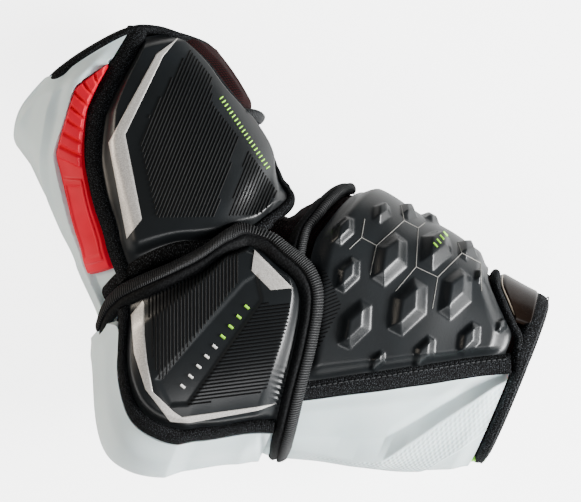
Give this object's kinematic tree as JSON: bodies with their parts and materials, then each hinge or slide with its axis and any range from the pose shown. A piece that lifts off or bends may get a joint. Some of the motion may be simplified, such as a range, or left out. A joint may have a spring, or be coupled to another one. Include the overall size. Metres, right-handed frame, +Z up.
{
  "type": "elbow pad",
  "caption": "Padded elbow guard for ice hockey, with pale moulded shells at the back, black foam panels on both flanks and a mesh liner sleeve.",
  "frame": {"origin": "on the surface it lies on, at the flat on the far elbow panel", "axes": "+X along the guard's overall length, towards the wrist end; +Y towards the crook of the arm; +Z up from the surface, from the far flank to the near one"},
  "size_m": [0.2847, 0.2373, 0.1255],
  "materials": {
    "moulded_shell": "soft satin moulded foam shell, pale grey with a touch of blue",
    "moulded_foam": "moulded foam with a satin black skin",
    "red_insert": "satin moulded, bright red",
    "edge_tape": "black knitted binding tape",
    "ribbed_band": "black stretch tape with fine cross ribs",
    "mesh_liner": "dark spacer mesh with a red tinge",
    "mesh_strap": "black mesh over red",
    "gloss_plate": "glossy, smoked bronze",
    "tab_webbing": "bright green webbing"
  },
  "bodies": {
    "root": {"liner": "mesh_liner", "upper_shell": "moulded_shell", "upper_insert": "red_insert", "upper_strap": "mesh_strap", "upper_strap_edge": "edge_tape", "rim_tape": "edge_tape", "elbow_cap": "moulded_shell", "elbow_band": "ribbed_band", "forearm_panel": "moulded_foam", "forearm_shell": "moulded_shell", "forearm_collar": "ribbed_band", "panel_end_tape": "edge_tape", "wrist_plate": "gloss_plate", "wrist_tape": "edge_tape", "pull_tab": "tab_webbing", "upper_panel": "moulded_foam", "upper_seam_tape": "edge_tape", "upper_edge_tape": "edge_tape", "elbow_panel": "moulded_foam", "elbow_seam_tape": "edge_tape", "forearm_seam_tape": "edge_tape", "upper_panel_far": "moulded_foam", "upper_seam_tape_far": "edge_tape", "upper_edge_tape_far": "edge_tape", "elbow_panel_far": "moulded_foam", "elbow_seam_tape_far": "edge_tape", "forearm_seam_tape_far": "edge_tape"}
  },
  "joints": []
}
